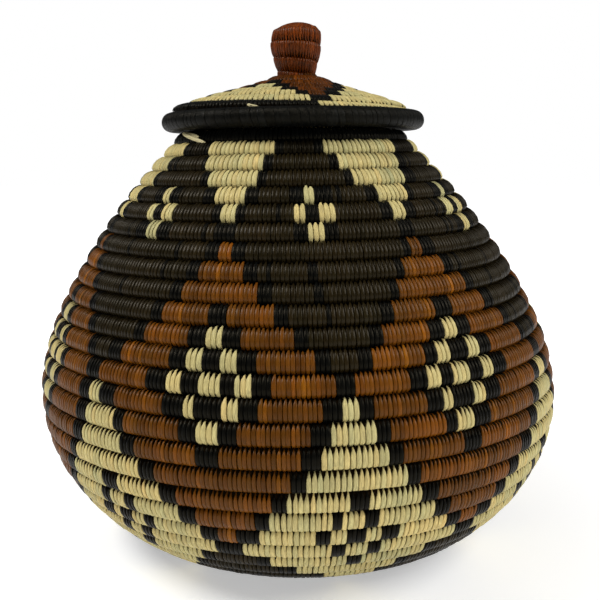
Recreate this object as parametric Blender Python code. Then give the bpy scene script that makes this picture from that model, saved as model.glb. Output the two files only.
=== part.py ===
# Lidded basket of coiled grass, sewn with palm leaf strips.
#
# The basket is one long cord of grass that winds out from the middle of the base and up
# the wall to the mouth. The lid is a second cord that winds down from the top of its knob.
# Each cord is modelled as the spiral it is. A cord is cut into a few lengths that meet end
# to end, so that the base, the wall and the neck, or the knob and the dome, are nodes.
#
# Metres, +Z up. The basket stands on z = 0 and its middle line is the Z axis.
# The photograph looks along +Y, so the front of the basket faces -Y.

import math

import bmesh
import bpy
from mathutils import Matrix, Vector
from mathutils.bvhtree import BVHTree

# Cords. A pitch is the step from one round to the next, measured along the wall.
BODY_PITCH = 0.009
KNOB_PITCH = 0.0062
RIM_CORD_DIAMETER = 0.0095
COLLAR_PITCH = 0.0085

# Clearances.
ROUND_GAP = 0.0005
BUTT_GAP = 0.0004
SEAT_GAP = 0.0003
COLLAR_SIDE_GAP = 0.0015

# Basket. Turns are counted outwards from the middle of the base.
BASE_START_RADIUS = 0.0052
BASE_START_BEVEL_SHARE = 0.2
BASE_TURNS = 8
MOUTH_TURN = 33.5
WALL_CUT_TURNS = (10, 11.5, 15.5, 22.5, 31.5)
# How steeply the side rises at some of its turns, in degrees: 0 is flat and outwards,
# 90 is upright, and more than 90 leans in.
BODY_RISE = (
    (0, 0),
    (7, 0),
    (BASE_TURNS, 23),
    (10.5, 41),
    (13, 56),
    (15.5, 73.5),
    (18, 95),
    (20.5, 110),
    (23, 119),
    (25.5, 123),
    (28, 127),
    (30.5, 133),
    (33, 129),
    (MOUTH_TURN, 126),
)

# Lid. Turns are counted from the top of the knob, and its side falls, so rises are minus.
KNOB_RADIUS = 0.0095
KNOB_TURNS = 4
DOME_EDGE_TURN = 10
LID_RISE = (
    (0, -88),
    (1, -91),
    (2, -97),
    (3, -102),
    (KNOB_TURNS, -30),
    (5, -17),
    (8.5, -14),
    (DOME_EDGE_TURN, -20),
)
RIM_OUTSIDE_MOUTH = 0.007
RIM_BELOW_EDGE_DEGREES = 62
CROWN_HEIGHT = 0.0042
CROWN_EDGE_SHARE = 0.25
COLLAR_TURNS = 3
# The dome's cord ends a little to the right of the front.
LID_END_TURN = 0.0625

# Loose end of a palm strip. It lies round the left of the neck, under the lid's rim,
# and turns down over the cord as it goes towards the front.
STRIP_WIDTH = 0.0024
STRIP_THICKNESS = 0.0005
STRIP_START_DEGREES = -65
STRIP_END_DEGREES = -51
STRIP_START_ABOVE_DEGREES = 36
STRIP_END_ABOVE_DEGREES = 2
STRIP_GAP = 0.0006
STRIP_STEPS = 6

# Faceting. A cord's six sides keep two flats towards its neighbours.
STEPS_PER_TURN = 16
COARSE_UNTIL_TURN = 4
SAMPLES_PER_TURN = 64
ROUND_STEPS = 24
CROWN_STEPS = 5
THINNEST_SHARE = 0.125
STANDING_CUT_SHARE = 0.1
FLATS_TO_CORNERS = 2 / math.sqrt(3)

FRONT = Vector((0, -1, 0))

CREAM = (0.62, 0.53, 0.27)
RUST = (0.17, 0.05, 0.012)
CHARCOAL = (0.04, 0.031, 0.02)
BLACK = (0.014, 0.015, 0.018)
GRASS = (0.5, 0.4, 0.2)


def clear_scene():
    for thing in list(bpy.data.objects):
        bpy.data.objects.remove(thing)


def material(name, colour, roughness):
    """A plain dyed leaf or grass."""
    made = bpy.data.materials.new(name)
    made.use_nodes = True
    shader = made.node_tree.nodes["Principled BSDF"]
    shader.inputs["Base Color"].default_value = (*colour, 1)
    shader.inputs["Roughness"].default_value = roughness
    shader.inputs["Metallic"].default_value = 0
    made.diffuse_color = (*colour, 1)
    return made


def add_object(name, mesh, colour, roughness, parent=None):
    """Puts a mesh in the scene, shaded smooth, with a material of its own."""
    for face in mesh.polygons:
        face.use_smooth = True
    mesh.materials.append(material(name + "_finish", colour, roughness))
    thing = bpy.data.objects.new(name, mesh)
    bpy.context.collection.objects.link(thing)
    thing.parent = parent
    return thing


def between(table, turn):
    """Reads a table of (turn, value) pairs, with straight runs between its rows."""
    for (low, low_value), (high, high_value) in zip(table, table[1:]):
        if turn <= high:
            share = max(0, (turn - low) / (high - low))
            return low_value + share * (high_value - low_value)
    return table[-1][1]


class Outline:
    """The middle of a basket wall, seen from the side, as radius and height at each turn."""

    def __init__(self, rise, pitch, radius, height):
        self.last_turn = rise[-1][0]
        count = round(self.last_turn * SAMPLES_PER_TURN)
        self.step = self.last_turn / count
        self.points = [Vector((radius, height))]
        for index in range(count):
            turn = (index + 0.5) * self.step
            angle = math.radians(between(rise, turn))
            length = between(pitch, turn) * self.step
            move = length * Vector((math.cos(angle), math.sin(angle)))
            self.points.append(self.points[-1] + move)

    def at(self, turn):
        place = min(max(turn, 0), self.last_turn) / self.step
        index = min(int(place), len(self.points) - 2)
        return self.points[index].lerp(self.points[index + 1], place - index)

    def raise_by(self, height):
        for point in self.points:
            point.y += height


class Station:
    """A place along a cord: its turn, middle, diameter and how its sides are tilted."""

    def __init__(self, turn, angle, middle, diameter, tilt):
        # The corners stand out a little, so that the flat sides straddle the true round.
        corner = 2 * middle.x / (1 + math.cos(math.pi / STEPS_PER_TURN))
        self.turn = turn
        self.middle = middle
        self.place = Matrix.Rotation(angle, 3, "Z") @ (FRONT * corner)
        self.place.z = middle.y
        self.diameter = diameter
        self.tilt = tilt

    def halfway(self, other):
        made = Station(0, 0, self.middle, self.diameter, (self.tilt + other.tilt) / 2)
        made.place = self.place.lerp(other.place, 0.5)
        made.diameter = (self.diameter + other.diameter) / 2
        return made

    def moved_towards(self, other, distance):
        self.place += (other.place - self.place).normalized() * distance
        return self


def station_at(outline, turn, start_turn):
    """The place on a cord, which fills the wall from turn - 1 to turn.

    The cord stops at the wall's two edges, so its first and its last round taper, and
    both edges are level. Angles run anticlockwise from the front, seen from above.
    """
    inner = outline.at(turn - 1)
    outer = outline.at(turn)
    across = outer - inner
    # Where the wall bends, the flats of two rounds meet at an angle and need more room.
    before = outline.at(turn - 1 + outline.step) - inner
    after = outer - outline.at(turn - outline.step)
    bend = across.angle(before, 0) if turn >= 1 else 0
    bend = max(bend, across.angle(after, 0)) if turn <= outline.last_turn else bend
    corner = math.radians(30)
    diameter = across.length * math.cos(bend) - ROUND_GAP
    diameter *= math.cos(corner) / math.cos(corner - min(bend, corner))
    angle = math.tau * (turn + start_turn)
    tilt = math.pi / 2 - math.atan2(across.y, across.x)
    return Station(turn, angle, inner.lerp(outer, 0.5), diameter, tilt)


def cord_stations(outline, start_turn, coarse_until=0):
    """The places along a whole cord, from one tapered end to the other."""
    stations = []
    step = round(THINNEST_SHARE * STEPS_PER_TURN)
    last = round((outline.last_turn + 1 - THINNEST_SHARE) * STEPS_PER_TURN)
    while step <= last:
        turn = step / STEPS_PER_TURN
        stations.append(station_at(outline, turn, start_turn))
        step += 2 if turn < coarse_until and step % 2 == 0 else 1
    return stations


def ring_stations(middle, diameter):
    """One level round of cord, whose two ends meet at the back."""
    turns = [0.5 + step / STEPS_PER_TURN for step in range(STEPS_PER_TURN + 2)]
    return [Station(turn, math.tau * turn, middle, diameter, 0) for turn in turns]


def length_of(stations, first_turn, last_turn):
    """A length of a cord, cut halfway between stations, where its two sides are square."""
    inside = [one for one in stations if first_turn < one.turn <= last_turn]
    before = [one for one in stations if one.turn <= first_turn]
    after = [one for one in stations if one.turn > last_turn]
    ends = [inside[0], inside[-1]]
    if before:
        end = before[-1].halfway(ends[0]).moved_towards(ends[0], BUTT_GAP / 2)
        inside.insert(0, end)
    if after:
        end = ends[1].halfway(after[0]).moved_towards(ends[1], BUTT_GAP / 2)
        inside.append(end)
    return inside


def least_gap(stations):
    """The least gap between a cord and its own next rounds, on points along it."""
    gaps = []
    for index, one in enumerate(stations):
        for other in stations[index + STEPS_PER_TURN // 3 :]:
            apart = (one.place - other.place).length
            gaps.append(apart - (one.diameter + other.diameter) / 2)
    return min(gaps)


def cord_mesh(name, stations):
    """One unbroken tube through the stations, with a filled cap at each end."""
    curve = bpy.data.curves.new(name, "CURVE")
    curve.dimensions = "3D"
    curve.twist_mode = "Z_UP"
    curve.bevel_depth = cord_radius(1)
    curve.bevel_resolution = 1
    curve.use_fill_caps = True
    spline = curve.splines.new("POLY")
    spline.points.add(len(stations) - 1)
    for point, station in zip(spline.points, stations):
        point.co = (*station.place, 1)
        point.radius = station.diameter
        point.tilt = station.tilt
    guide = bpy.data.objects.new(name + "_guide", curve)
    bpy.context.collection.objects.link(guide)
    bpy.context.view_layer.update()
    graph = bpy.context.evaluated_depsgraph_get()
    mesh = bpy.data.meshes.new_from_object(guide.evaluated_get(graph))
    bpy.data.objects.remove(guide)
    mesh.name = name
    return mesh


def finish(model, name):
    """Turns a bmesh into a mesh whose faces look outwards."""
    bmesh.ops.recalc_face_normals(model, faces=model.faces)
    mesh = bpy.data.meshes.new(name)
    model.to_mesh(mesh)
    model.free()
    return mesh


def cut_flat(mesh, height):
    """Cuts off what is below a height, so that a round cord has something to stand on."""
    model = bmesh.new()
    model.from_mesh(mesh)
    bmesh.ops.remove_doubles(model, verts=model.verts, dist=ROUND_GAP / 100)
    cut = bmesh.ops.bisect_plane(
        model,
        geom=model.verts[:] + model.edges[:] + model.faces[:],
        plane_co=(0, 0, height),
        plane_no=(0, 0, -1),
        clear_outer=True,
    )
    edges = [item for item in cut["geom_cut"] if isinstance(item, bmesh.types.BMEdge)]
    bmesh.ops.holes_fill(model, edges=edges, sides=0)
    return finish(model, mesh.name)


def turned(name, profile):
    """A solid of revolution about the Z axis, from its outline at the front."""
    model = bmesh.new()
    corners = [model.verts.new((radius, 0, height)) for radius, height in profile]
    edges = [model.edges.new(pair) for pair in zip(corners, corners[1:])]
    bmesh.ops.spin(
        model,
        geom=corners + edges,
        axis=(0, 0, 1),
        cent=(0, 0, 0),
        steps=ROUND_STEPS,
        angle=math.tau,
        use_merge=True,
    )
    bmesh.ops.remove_doubles(model, verts=model.verts, dist=ROUND_GAP / 100)
    return finish(model, name)


def cord_radius(diameter):
    """From a cord's middle to its corners."""
    return diameter / 2 * FLATS_TO_CORNERS


def body_outline():
    thick = BODY_PITCH - ROUND_GAP
    middle = cord_radius(thick) - STANDING_CUT_SHARE * thick
    pitch = ((0, BODY_PITCH), (MOUTH_TURN, BODY_PITCH))
    return Outline(BODY_RISE, pitch, BASE_START_RADIUS, middle)


def lid_outline(dome_pitch):
    pitch = (
        (0, KNOB_PITCH),
        (KNOB_TURNS - 1, KNOB_PITCH),
        (KNOB_TURNS + 1, dome_pitch),
        (DOME_EDGE_TURN, dome_pitch),
    )
    return Outline(LID_RISE, pitch, KNOB_RADIUS, 0)


def lid_over(mouth):
    """The dome's rounds are as wide as it takes to hang the rim outside the mouth."""
    least = rim_beside(lid_outline(0)).x
    most = rim_beside(lid_outline(BODY_PITCH)).x
    share = (mouth.x + RIM_OUTSIDE_MOUTH - least) / (most - least)
    return lid_outline(share * BODY_PITCH)


def rim_beside(lid):
    """The rim's cord hangs outside and below the edge of the dome."""
    angle = math.radians(RIM_BELOW_EDGE_DEGREES)
    reach = cord_radius(RIM_CORD_DIAMETER) + ROUND_GAP
    return lid.at(DOME_EDGE_TURN) + reach * Vector((math.cos(angle), -math.sin(angle)))


def seat_height(rim, stations):
    """How high the rim's middle lies when it rests on the rounds of the neck."""
    heights = []
    for station in stations:
        reach = cord_radius(RIM_CORD_DIAMETER) + cord_radius(station.diameter) + SEAT_GAP
        aside = abs(rim.x - station.middle.x)
        if aside < reach:
            heights.append(station.middle.y + math.sqrt(reach**2 - aside**2))
    return max(heights)


def make_base_start(parent):
    """The wrapped knot that the basket's cord starts from."""
    thick = BODY_PITCH - ROUND_GAP
    top = cord_radius(thick) * 2 - STANDING_CUT_SHARE * thick
    radius = BASE_START_RADIUS * math.cos(math.tau / STEPS_PER_TURN) - ROUND_GAP
    bevel = BASE_START_RADIUS * BASE_START_BEVEL_SHARE
    profile = [
        (0, 0),
        (radius - bevel, 0),
        (radius, bevel),
        (radius, top - 2 * bevel),
        (radius - bevel, top - bevel),
        (0, top),
    ]
    mesh = turned("base_start", profile)
    return add_object("base_start", mesh, CHARCOAL, 0.6, parent)


def make_body(stations, parent):
    """The basket's cord, in lengths that meet end to end."""
    ends = (0, BASE_TURNS, *WALL_CUT_TURNS, MOUTH_TURN + 1)
    names = ("base", "foot", "flare", "lower_wall", "belly", "shoulder", "neck")
    colours = (CHARCOAL, CREAM, CREAM, CREAM, RUST, CHARCOAL, BLACK)
    for name, colour, first, last in zip(names, colours, ends, ends[1:]):
        mesh = cord_mesh(name + "_coil", length_of(stations, first, last))
        if first == 0:
            mesh = cut_flat(mesh, 0)
        add_object(name + "_coil", mesh, colour, 0.55, parent)


def make_lid(stations, rim, parent):
    """The lid's cord: the knob, then the dome, whose last round tapers along the rim."""
    knob = cord_mesh("knob_coil", length_of(stations, 0, KNOB_TURNS))
    add_object("knob_coil", knob, RUST, 0.5, parent)
    dome = cord_mesh("dome_coil", length_of(stations, KNOB_TURNS, DOME_EDGE_TURN + 1))
    add_object("dome_coil", dome, CREAM, 0.55, parent)
    ring = ring_stations(rim, RIM_CORD_DIAMETER)
    ring = cord_mesh("rim_coil", length_of(ring, ring[0].turn, ring[-2].turn))
    add_object("rim_coil", ring, BLACK, 0.4, parent)
    return dome


def make_knob_core(outline, stations, parent):
    """The bundle inside the knob, with the rounded crown that closes its top."""
    foot = outline.at(KNOB_TURNS - 1).y
    rounds = [one for one in stations if one.turn < KNOB_TURNS]
    hollow = min(one.middle.x - cord_radius(one.diameter) for one in rounds)
    stem = hollow * math.cos(math.tau / STEPS_PER_TURN) - ROUND_GAP
    top = outline.at(0).y + SEAT_GAP
    crown = KNOB_RADIUS
    profile = [(0, foot), (stem, foot), (stem, top), (crown, top)]
    for step in range(1, CROWN_STEPS + 1):
        angle = math.pi / 2 * step / CROWN_STEPS
        lift = CROWN_EDGE_SHARE + (1 - CROWN_EDGE_SHARE) * math.sin(angle)
        profile.append((crown * math.cos(angle), top + CROWN_HEIGHT * lift))
    profile[-1] = (0, profile[-1][1])
    add_object("knob_core", turned("knob_core", profile), RUST, 0.5, parent)


def collar_outline(body):
    """The collar's rounds hang straight down, with play between them and the mouth."""
    cord = cord_radius(COLLAR_PITCH - ROUND_GAP)
    neck = [one.middle.x - cord_radius(one.diameter) for one in body[-2 * STEPS_PER_TURN :]]
    radius = min(neck) - COLLAR_SIDE_GAP - cord
    rise = ((0, -90), (COLLAR_TURNS, -90))
    pitch = ((0, COLLAR_PITCH), (COLLAR_TURNS, COLLAR_PITCH))
    return Outline(rise, pitch, radius, 0)


def room_above(mesh, ceiling):
    """How far a mesh can rise before it meets another one."""
    up = Vector((0, 0, 1))
    room = []
    for start, goal, way in ((mesh, ceiling, up), (ceiling, mesh, -up)):
        points = [vert.co for vert in goal.vertices]
        tree = BVHTree.FromPolygons(points, [face.vertices for face in goal.polygons])
        hits = [tree.ray_cast(vert.co, way)[3] for vert in start.vertices]
        room += [distance for distance in hits if distance is not None]
    return min(room)


def make_collar(stations, dome, parent):
    """The ring that hangs from the dome into the mouth and keeps the lid in its place."""
    collar = cord_mesh("collar_coil", stations)
    rise = room_above(collar, dome) - SEAT_GAP
    collar.transform(Matrix.Translation((0, 0, rise)))
    add_object("collar_coil", collar, GRASS, 0.7, parent)


def make_strip(outline, parent):
    """A flat ribbon that follows the outside of the neck's last round."""
    model = bmesh.new()
    bmesh.ops.create_cube(model, size=1)
    long_edges = [e for e in model.edges if abs((e.verts[0].co - e.verts[1].co).x) > 0.5]
    bmesh.ops.subdivide_edges(model, edges=long_edges, cuts=STRIP_STEPS - 1, use_grid_fill=True)
    front_turn = math.floor(MOUTH_TURN) + 1
    for vert in model.verts:
        share = vert.co.x + 0.5
        degrees = STRIP_START_DEGREES + share * (STRIP_END_DEGREES - STRIP_START_DEGREES)
        above = STRIP_START_ABOVE_DEGREES
        above += share * (STRIP_END_ABOVE_DEGREES - STRIP_START_ABOVE_DEGREES)
        along = Matrix.Rotation(math.radians(degrees), 3, "Z") @ FRONT
        cord = station_at(outline, front_turn + degrees / 360, 0)
        reach = cord_radius(cord.diameter) + STRIP_GAP + (vert.co.z + 0.5) * STRIP_THICKNESS
        above = math.radians(above) + vert.co.y * STRIP_WIDTH / reach
        radius = cord.middle.x + reach * math.cos(above)
        vert.co = along * radius
        vert.co.z = cord.middle.y + reach * math.sin(above)
    add_object("loose_strip", finish(model, "loose_strip"), CREAM, 0.5, parent)


clear_scene()
basket = bpy.data.objects.new("basket", None)
lid = bpy.data.objects.new("lid", None)
bpy.context.collection.objects.link(basket)
bpy.context.collection.objects.link(lid)

body_line = body_outline()
body_cord = cord_stations(body_line, 0, COARSE_UNTIL_TURN)
make_base_start(basket)
make_body(body_cord, basket)
make_strip(body_line, basket)

lid_line = lid_over(body_line.at(MOUTH_TURN))
rim_middle = rim_beside(lid_line)
drop = seat_height(rim_middle, body_cord) - rim_middle.y
lid_line.raise_by(drop)
rim_middle.y += drop
lid_start = LID_END_TURN - DOME_EDGE_TURN - 1
lid_cord = cord_stations(lid_line, lid_start, KNOB_TURNS)
dome_mesh = make_lid(lid_cord, rim_middle, lid)
make_knob_core(lid_line, lid_cord, lid)
collar_cord = cord_stations(collar_outline(body_cord), 0)
make_collar(collar_cord, dome_mesh, lid)

for name, cord in (("basket", body_cord), ("lid", lid_cord), ("collar", collar_cord)):
    print(f"{name} cord: least gap to itself {least_gap(cord) * 1000:.2f} mm")
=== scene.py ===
# %% [markdown]
# # A lidded basket of coiled grass
#
# The real basket is one long cord of grass that winds round and round from the middle of
# its base to its mouth. As it goes, strips of dyed palm leaf are wrapped round the new
# round and through the one before, which binds the two. The pattern is nothing but the
# colour of the strip at each stitch. So this scene is built in the maker's order: a cord,
# a stitch, a chart of colours, then the winding. Sizes are in metres, and the part from
# CAD is the frame that everything here keeps to.

# %% Load the frame
import math

import bmesh
import bpy
import numpy as np
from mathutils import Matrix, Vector


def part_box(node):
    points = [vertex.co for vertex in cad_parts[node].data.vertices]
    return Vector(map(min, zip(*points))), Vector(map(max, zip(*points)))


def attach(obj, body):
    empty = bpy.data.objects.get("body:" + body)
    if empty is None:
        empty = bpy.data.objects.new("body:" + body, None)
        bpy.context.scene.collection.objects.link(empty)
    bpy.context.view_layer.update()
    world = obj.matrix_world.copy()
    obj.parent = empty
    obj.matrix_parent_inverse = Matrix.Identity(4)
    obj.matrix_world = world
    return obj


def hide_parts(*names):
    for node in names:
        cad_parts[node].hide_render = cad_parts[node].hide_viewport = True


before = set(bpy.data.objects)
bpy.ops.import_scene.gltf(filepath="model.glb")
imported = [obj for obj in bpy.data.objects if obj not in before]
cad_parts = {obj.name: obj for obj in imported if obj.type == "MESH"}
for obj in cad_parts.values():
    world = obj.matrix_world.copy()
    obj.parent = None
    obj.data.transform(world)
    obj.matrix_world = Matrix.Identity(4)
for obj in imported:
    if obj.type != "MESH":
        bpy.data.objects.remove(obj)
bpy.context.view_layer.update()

MM = 0.001
TURN = math.tau
rng = np.random.default_rng(24)
print("nodes of the frame:", sorted(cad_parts))

# %% [markdown]
# ## The line that the cord follows
#
# Seen from the side, a coiled wall is a line that the rounds climb one after another. Its
# steepness at some of the turns is all that shapes the basket: 0 degrees is flat and
# outwards, 90 is upright, more leans in. Adding up short steps gives the line. A curve
# object could be drawn by hand instead, but then the rounds wouldn't be one cord high.

# %% Walls
SAMPLES_A_TURN = 64
# The basket was made by hand and leans a little to the left, and no round is quite even.
LEAN = -0.021
LEAN_HEIGHT = 104.7 * MM
UNEVEN = 0.22 * MM
# That is a short wave times a long one, and a third tilts it out of the level.
SHORT_WAVE, LONG_WAVE, TILT_WAVE = 4.1, 1.7, 2.3
SHORTEST = 1e-6


class Wall:
    """Radius and height at each turn of a cord, which fills the wall from turn - 1 to turn."""

    bulge = 0.96
    square = 0.76

    def __init__(self, line, side, start_turn):
        self.turns, self.radius, self.height = line
        self.side = side
        self.start_turn = start_turn

    def edge(self, turn):
        """The line between two rounds, as radius and height."""
        sway = UNEVEN * np.sin(turn * SHORT_WAVE + 1) * np.sin(turn * LONG_WAVE)
        radius = np.interp(turn, self.turns, self.radius) + sway
        height = np.interp(turn, self.turns, self.height)
        return np.stack([radius, height + sway * np.cos(turn * TILT_WAVE)], axis=-1)

    def section(self, turn):
        """The cord's middle, the ways along and out of the wall, and half the cord's height."""
        low, high = self.edge(turn - 1), self.edge(turn)
        along = high - low
        length = np.linalg.norm(along, axis=-1, keepdims=True)
        along = along / np.maximum(length, SHORTEST)
        outwards = self.side * np.stack([along[:, 1], -along[:, 0]], axis=-1)
        return (low + high) / 2, along, outwards, length / 2


def climb(rise, pitch, radius, height):
    """A wall's line from two tables by turn: how steep it is, and how high a round is."""
    last = rise[-1][0]
    count = round(last * SAMPLES_A_TURN)
    middles = (np.arange(count) + 0.5) * last / count
    angles = np.radians(np.interp(middles, *zip(*rise)))
    step = np.interp(middles, *zip(*pitch)) * last / count
    radii = radius + np.append(0, np.cumsum(step * np.cos(angles)))
    heights = height + np.append(0, np.cumsum(step * np.sin(angles)))
    return np.linspace(0, last, count + 1), radii, heights


BODY_PITCH = 9 * MM
BASE_START_RADIUS = 5.2 * MM
BODY_MIDDLE = (8.5 / math.sqrt(3) - 0.85) * MM
BODY_RISE = (
    (0, 0), (7, 0), (8, 23), (10.5, 41), (13, 56), (15.5, 73.5), (18, 95), (20.5, 110),
    (23, 119), (25.5, 123), (28, 127), (30.5, 133), (33, 129), (34, 124),
)
# The rounds of the neck are lower than the others.
NECK_PITCH = 7.7 * MM
BODY_PITCHES = ((0, BODY_PITCH), (31.5, BODY_PITCH), (32.3, NECK_PITCH), (34, NECK_PITCH))
body_line = climb(BODY_RISE, BODY_PITCHES, BASE_START_RADIUS, BODY_MIDDLE)
body = Wall(body_line, side=1, start_turn=0)
print(f"mouth at {body.edge(33.5) / MM} mm, widest radius {body.radius.max() / MM:.1f} mm")

# %% [markdown]
# ## Winding a straight thing onto the wall
#
# It is far easier to model a stitch on a straight cord than on a spiral. So each mesh here
# is made straight, along the Y axis, and one function then bends it: how far along the
# cord a point is gives its turn, its angle round the cord gives its place in the section.
# A real round isn't a circle. The rounds press on each other, so the section is a little
# square, and that is what the wall's power square does.

# %% Winding
# A cord's thin end takes less of a lift than the rest does.
FULL_LIFT_HALF, LEAST_LIFT_SHARE = 2 * MM, 0.1


def lean(place):
    """The whole basket's lean, for points that are placed already."""
    place[:, 0] += LEAN * (place[:, 2] - LEAN_HEIGHT)
    return place


def round_axis(radius, angle, height):
    """Points round the basket's axis, at angles counted from the front."""
    return np.stack([radius * np.sin(angle), -radius * np.cos(angle), height], axis=1)


def wind(wall, turn, round_angle, lift, push=0):
    """Places points on a wound cord. Lift is off its surface, and push is along the wall."""
    middle, along, outwards, half = wall.section(turn)
    out, up = np.cos(round_angle)[:, None], np.sin(round_angle)[:, None]
    lift = lift[:, None] * np.clip(half / FULL_LIFT_HALF, LEAST_LIFT_SHARE, 1)
    # Where two rounds touch, nothing is lifted or sunk, so no light comes through.
    thick = half * wall.bulge + lift
    tall = half + lift * np.abs(out)
    out = np.sign(out) * np.abs(out) ** wall.square
    up = np.sign(up) * np.abs(up) ** wall.square
    place = middle + outwards * out * thick + along * (up * tall + push)
    return round_axis(place[:, 0], TURN * (turn + wall.start_turn), place[:, 1])


outermost = wind(body, np.array([20.0]), np.zeros(1), np.zeros(1))[0]
print("the cord's outer side after 20 turns, in mm:", np.round(outermost / MM, 1))

# %% [markdown]
# ## Meshes in and out of numpy
#
# Moving thousands of vertices one by one in Python is slow, so each mesh hands over all its
# coordinates in one list and takes them back in one. A finished mesh becomes a piece, which
# is told whether it moves with the basket or with the lid.

# %% Mesh helpers
def mesh_from(model, name):
    mesh = bpy.data.meshes.new(name)
    model.to_mesh(mesh)
    model.free()
    return mesh


def add_object(name, data):
    thing = bpy.data.objects.new(name, data)
    bpy.context.collection.objects.link(thing)
    return thing


def coordinates(mesh):
    found = np.empty(len(mesh.vertices) * 3, np.float32)
    mesh.vertices.foreach_get("co", found)
    return found.reshape(-1, 3).astype(float)


def set_coordinates(mesh, places):
    mesh.vertices.foreach_set("co", places.astype(np.float32).ravel())
    mesh.update()


def face_outwards(mesh):
    """Winding can turn a mesh inside out, so its normals are worked out again."""
    model = bmesh.new()
    model.from_mesh(mesh)
    bmesh.ops.recalc_face_normals(model, faces=model.faces)
    model.to_mesh(mesh)
    model.free()
    mesh.shade_smooth()


def add_piece(name, mesh, material, body_name):
    """Puts a finished mesh in the scene and says what it moves with."""
    mesh.name = name
    mesh.materials.append(material)
    piece = add_object(name, mesh)
    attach(piece, body_name)
    return piece


# %% [markdown]
# ## Palm leaf and grass
#
# A palm leaf strip is satin, with fibres that run along it. On a strip this narrow they
# show as fine streaks in its colour and as tiny ridges that catch the light. The streaks
# are noise stretched along the strip, so they need coordinates that follow each strip: a
# UV map named strip, in millimetres, which the winding makes. The colour of the dye comes
# from an attribute of the mesh, because each stitch has its own. Several finishes use the
# streaks, so they are a node group.

# %% Streaks of fibre
# The brightest fibre, as a share of the dye, and how much rougher it is than a dark one.
BRIGHTEST_FIBRE = 1.15
FIBRE_ROUGHNESS = 0.18
# Undyed leaf is duller than leaf that was boiled in dye: the paler, the rougher it gets.
PALE_ROUGHNESS = 0.35
# A leaf has a waxy skin that shines. The darker the bath, the less of it stays: none is left
# at the darkest of these dyes, and all of it from the lightest on.
SKIN_DARKEST, SKIN_LIGHTEST, SKIN_MOST = 0.003, 0.012, 0.15


def link(tree, source, target):
    tree.links.new(source, target)


def set_values(node, values):
    for socket, value in values.items():
        node.inputs[socket].default_value = value


def add_node(tree, kind, values={}, **settings):
    """Adds a shader node with its settings and the values of its sockets."""
    node = tree.nodes.new("ShaderNode" + kind)
    for name, setting in settings.items():
        setattr(node, name, setting)
    set_values(node, values)
    return node


def streak_group():
    group = bpy.data.node_groups.new("leaf fibres", "ShaderNodeTree")
    sockets = group.interface
    sockets.new_socket("Dye", in_out="INPUT", socket_type="NodeSocketColor")
    for name, value in (("Across", 4.0), ("Along", 0.3), ("Contrast", 0.6), ("Shine", 0.45)):
        made = sockets.new_socket(name, in_out="INPUT", socket_type="NodeSocketFloat")
        made.default_value = value
    sockets.new_socket("Colour", in_out="OUTPUT", socket_type="NodeSocketColor")
    for name in ("Roughness", "Ridges", "Skin"):
        sockets.new_socket(name, in_out="OUTPUT", socket_type="NodeSocketFloat")
    ins, outs = group.nodes.new("NodeGroupInput"), group.nodes.new("NodeGroupOutput")
    strip = add_node(group, "UVMap", uv_map="strip")
    split, joined = add_node(group, "SeparateXYZ"), add_node(group, "CombineXYZ")
    link(group, strip.outputs[0], split.inputs[0])
    for axis, factor in (("X", "Across"), ("Y", "Along")):
        times = add_node(group, "Math", operation="MULTIPLY")
        link(group, split.outputs[axis], times.inputs[0])
        link(group, ins.outputs[factor], times.inputs[1])
        link(group, times.outputs[0], joined.inputs[axis])
    grain = {"Scale": 1, "Detail": 3, "Roughness": 0.7}
    fibres = add_node(group, "TexNoise", grain, noise_dimensions="2D")
    link(group, joined.outputs[0], fibres.inputs["Vector"])
    # Noise gathers round its middle, so it is spread before it is used.
    spread = add_node(group, "MapRange", {"From Min": 0.3, "From Max": 0.7})
    link(group, fibres.outputs["Fac"], spread.inputs["Value"])
    tone = add_node(group, "MapRange", {"To Max": BRIGHTEST_FIBRE})
    low = add_node(group, "Math", {0: 1}, operation="SUBTRACT")
    link(group, ins.outputs["Contrast"], low.inputs[1])
    link(group, low.outputs[0], tone.inputs["To Min"])
    link(group, spread.outputs[0], tone.inputs["Value"])
    tinted = add_node(group, "Mix", {"Factor": 1}, data_type="RGBA", blend_type="MULTIPLY")
    link(group, ins.outputs["Dye"], tinted.inputs["A"])
    link(group, tone.outputs[0], tinted.inputs["B"])
    link(group, tinted.outputs["Result"], outs.inputs["Colour"])
    rough = add_node(group, "Math", {1: FIBRE_ROUGHNESS}, operation="MULTIPLY_ADD")
    link(group, spread.outputs[0], rough.inputs[0])
    dull = add_node(group, "Math", {1: PALE_ROUGHNESS}, operation="MULTIPLY_ADD")
    link(group, ins.outputs["Dye"], dull.inputs[0])
    link(group, ins.outputs["Shine"], dull.inputs[2])
    link(group, dull.outputs[0], rough.inputs[2])
    link(group, rough.outputs[0], outs.inputs["Roughness"])
    link(group, spread.outputs[0], outs.inputs["Ridges"])
    limits = {"From Min": SKIN_DARKEST, "From Max": SKIN_LIGHTEST, "To Max": SKIN_MOST}
    skin = add_node(group, "MapRange", limits)
    link(group, ins.outputs["Dye"], skin.inputs["Value"])
    link(group, skin.outputs[0], outs.inputs["Skin"])
    return group


FIBRES = streak_group()
print("group sockets:", [item.name for item in FIBRES.interface.items_tree])

# %% [markdown]
# ## Finishes from one group
#
# A material is the group with its own values, plus what is the same all over it: how glossy
# it is and the warm tint of its shine. A skin only lies on leaf, so bare grass gets none.
# Ridge is the height of the fibres in millimetres.

# %% Leaf and grass
WARM_SHINE = (1, 0.82, 0.5, 1)
SKIN_ROUGHNESS = 0.35
RIDGE_STRENGTH = 0.6


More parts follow.
